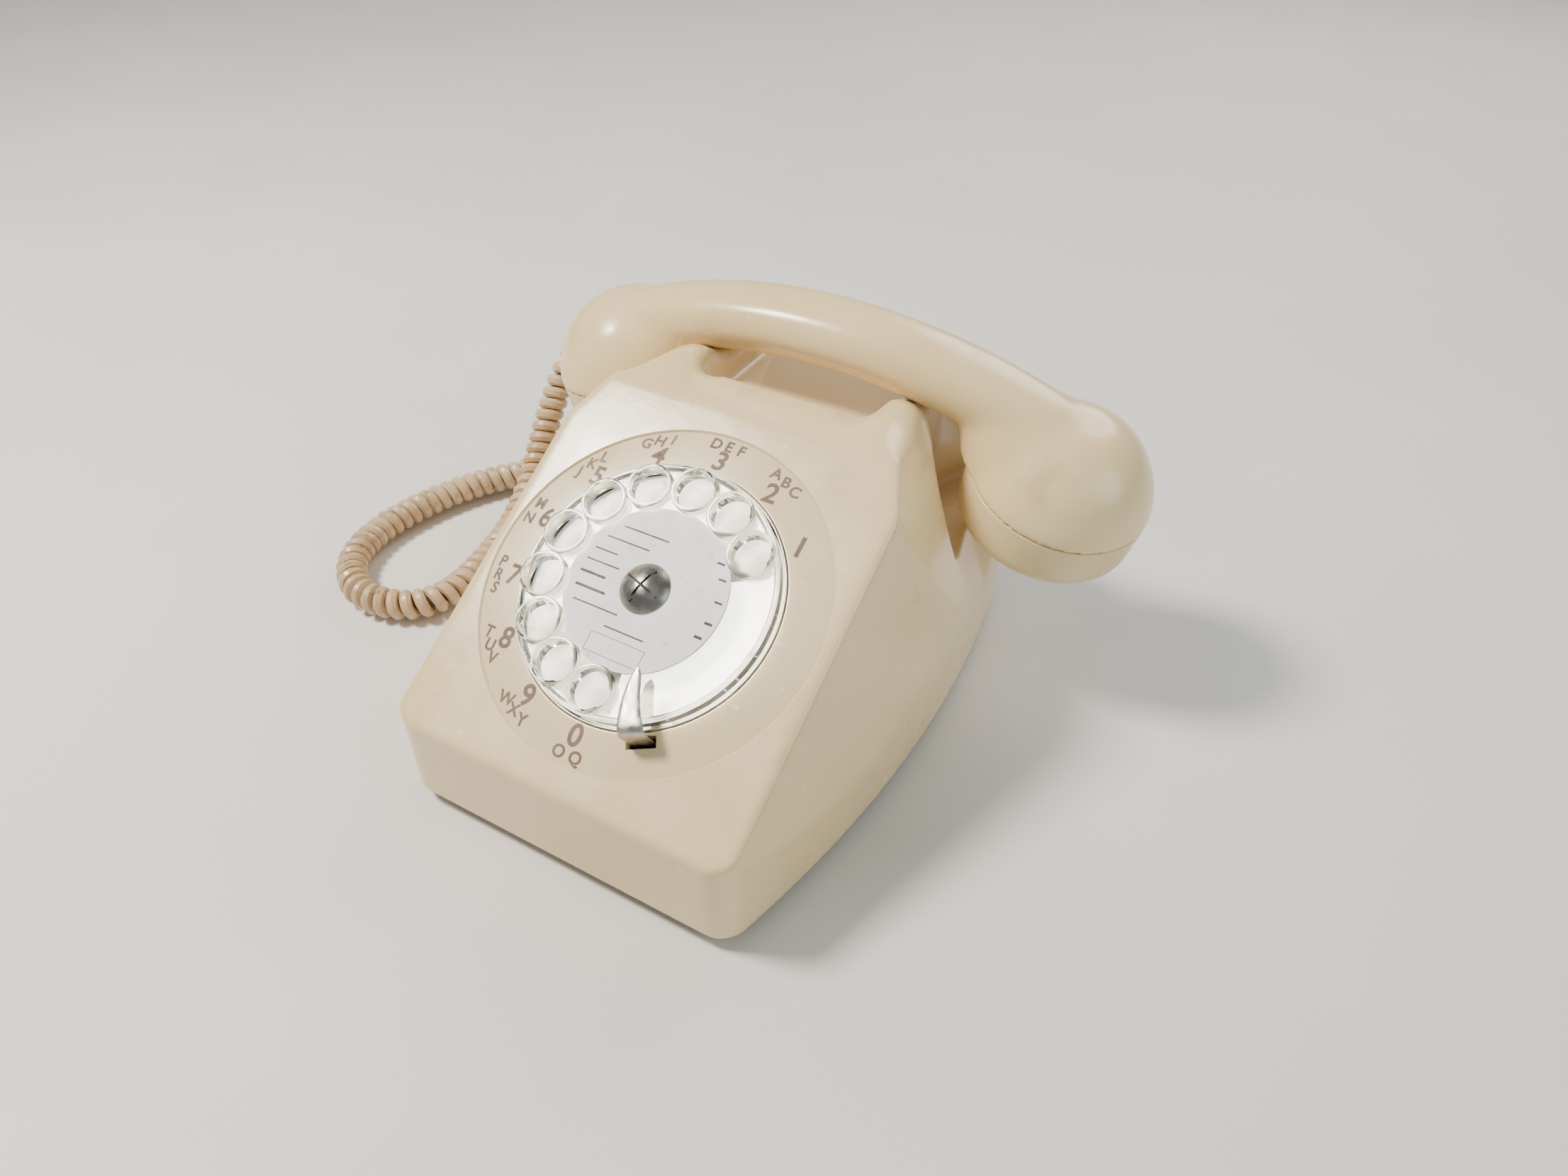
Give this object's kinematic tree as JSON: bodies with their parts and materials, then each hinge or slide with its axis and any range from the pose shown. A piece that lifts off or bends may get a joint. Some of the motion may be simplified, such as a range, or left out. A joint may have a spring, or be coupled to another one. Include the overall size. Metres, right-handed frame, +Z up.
{
  "type": "rotary dial desk telephone",
  "caption": "Desk telephone with a sloping dial face, clear finger wheel, steel finger stop, cradle ears, a lift-off handset and a coiled cord.",
  "frame": {"origin": "on the desk under the middle of the telephone, measured without its coiled cord", "axes": "+Z up, the dial face slopes towards -Y (front), +X to the right seen from the front"},
  "size_m": [0.2707, 0.2114, 0.1132],
  "materials": {
    "ivory_shell": "aged ivory moulding, semi-gloss",
    "cream_plate": "cream plate under the wheel",
    "clear_wheel": "clear polished plastic",
    "paper": "matt printed card",
    "steel": "worn steel",
    "zinc_plate": "zinc-plated sheet",
    "brass": "turned brass",
    "white_plastic": "off-white moulding",
    "dark_plate": "dark painted steel",
    "black_rubber": "soft rubber",
    "board": "laminate",
    "copper_coil": "enamelled wire",
    "blue_film": "film wrap",
    "black_plastic": "moulded block",
    "magnet": "cast magnet",
    "gong_metal": "polished gong",
    "clapper_steel": "plated steel",
    "gland_plastic": "beige moulding",
    "cord_plastic": "beige coiled cord",
    "capsule_metal": "pressed can",
    "wire_red": "insulated wire"
  },
  "bodies": {
    "base": {"cover_shell": "ivory_shell", "base_plate": "dark_plate", "rubber_feet": "black_rubber", "cover_screws": "steel", "dial_plate": "cream_plate", "dial_front_plate": "zinc_plate", "dial_back_plate": "zinc_plate", "dial_pillars": "steel", "dial_mount_screws": "steel", "finger_stop": "steel", "spring_barrel": "brass", "pulse_contacts": "brass", "governor_cup": "brass", "circuit_board": "board", "board_screws": "steel", "induction_coil": "copper_coil", "capacitor": "blue_film", "terminal_block": "black_plastic", "ringer_frame": "zinc_plate", "ringer_coils": "copper_coil", "ringer_magnet": "magnet", "gong_left": "gong_metal", "gong_right": "gong_metal", "gong_posts": "steel", "gong_screws": "steel", "hook_bracket": "zinc_plate", "hook_contacts": "brass", "cord_gland": "gland_plastic", "line_inlet": "gland_plastic", "handset_cord": "cord_plastic"},
    "dial_wheel": {"finger_wheel": "clear_wheel", "label_card": "paper", "dial_screw": "steel", "dial_shaft": "steel", "main_gear": "brass"},
    "dial_pinion": {"pinion_shaft": "steel", "pulse_cam": "white_plastic", "second_gear": "brass"},
    "dial_governor": {"governor_shaft": "steel", "governor_weights": "zinc_plate"},
    "clapper": {"bell_clapper": "clapper_steel"},
    "left_plunger": {"plunger_left": "white_plastic"},
    "right_plunger": {"plunger_right": "white_plastic"},
    "switch_lever": {"hook_lever": "white_plastic"},
    "handset": {"handset_shell": "ivory_shell", "ear_cap": "ivory_shell", "mouth_cap": "ivory_shell", "receiver_capsule": "capsule_metal", "transmitter_capsule": "capsule_metal", "capsule_seals": "black_rubber", "handset_wires": "wire_red", "handset_gland": "gland_plastic"}
  },
  "joints": [
    {"name": "dial_turn", "type": "hinge", "parent": "base", "child": "dial_wheel", "pos_m": [-0.0037, -0.04363, 0.064], "axis": [0, -0.5075, 0.8616], "range_deg": [-318, 0], "stiffness_Nm_per_rad": 0.02, "springref_deg": 57.3},
    {"name": "pinion_spin", "type": "hinge", "parent": "base", "child": "dial_pinion", "pos_m": [-0.0337, -0.04363, 0.064], "axis": [0, -0.5075, 0.8616], "range_deg": [0, 1590]},
    {"name": "governor_spin", "type": "hinge", "parent": "base", "child": "dial_governor", "pos_m": [-0.0337, -0.0264, 0.07415], "axis": [0, -0.5075, 0.8616], "range_deg": [-6360, 0]},
    {"name": "clapper_swing", "type": "hinge", "parent": "base", "child": "clapper", "pos_m": [-0.0037, 0.01337, 0.023], "axis": [0, 0, 1], "range_deg": [-8, 8], "stiffness_Nm_per_rad": 0.01},
    {"name": "handset_lift", "type": "slide", "parent": "base", "child": "handset", "axis": [0, 0, 1], "range_m": [0, 0.12]},
    {"name": "left_plunger_rise", "type": "slide", "parent": "base", "child": "left_plunger", "axis": [0, 0, 1], "range_m": [0, 0.005]},
    {"name": "right_plunger_rise", "type": "slide", "parent": "base", "child": "right_plunger", "axis": [0, 0, 1], "range_m": [0, 0.005]},
    {"name": "switch_turn", "type": "hinge", "parent": "base", "child": "switch_lever", "pos_m": [-0.0037, 0.07137, 0.066], "axis": [1, 0, 0], "range_deg": [-14.2, 0]}
  ],
  "couplings": [
    {"joint": "pinion_spin", "follows": "dial_turn", "ratio": -5},
    {"joint": "governor_spin", "follows": "dial_turn", "ratio": 20},
    {"joint": "left_plunger_rise", "follows": "handset_lift", "ratio": 0.041666},
    {"joint": "right_plunger_rise", "follows": "handset_lift", "ratio": 0.041666},
    {"joint": "switch_turn", "follows": "handset_lift", "rad_per_m": -2.0653}
  ]
}
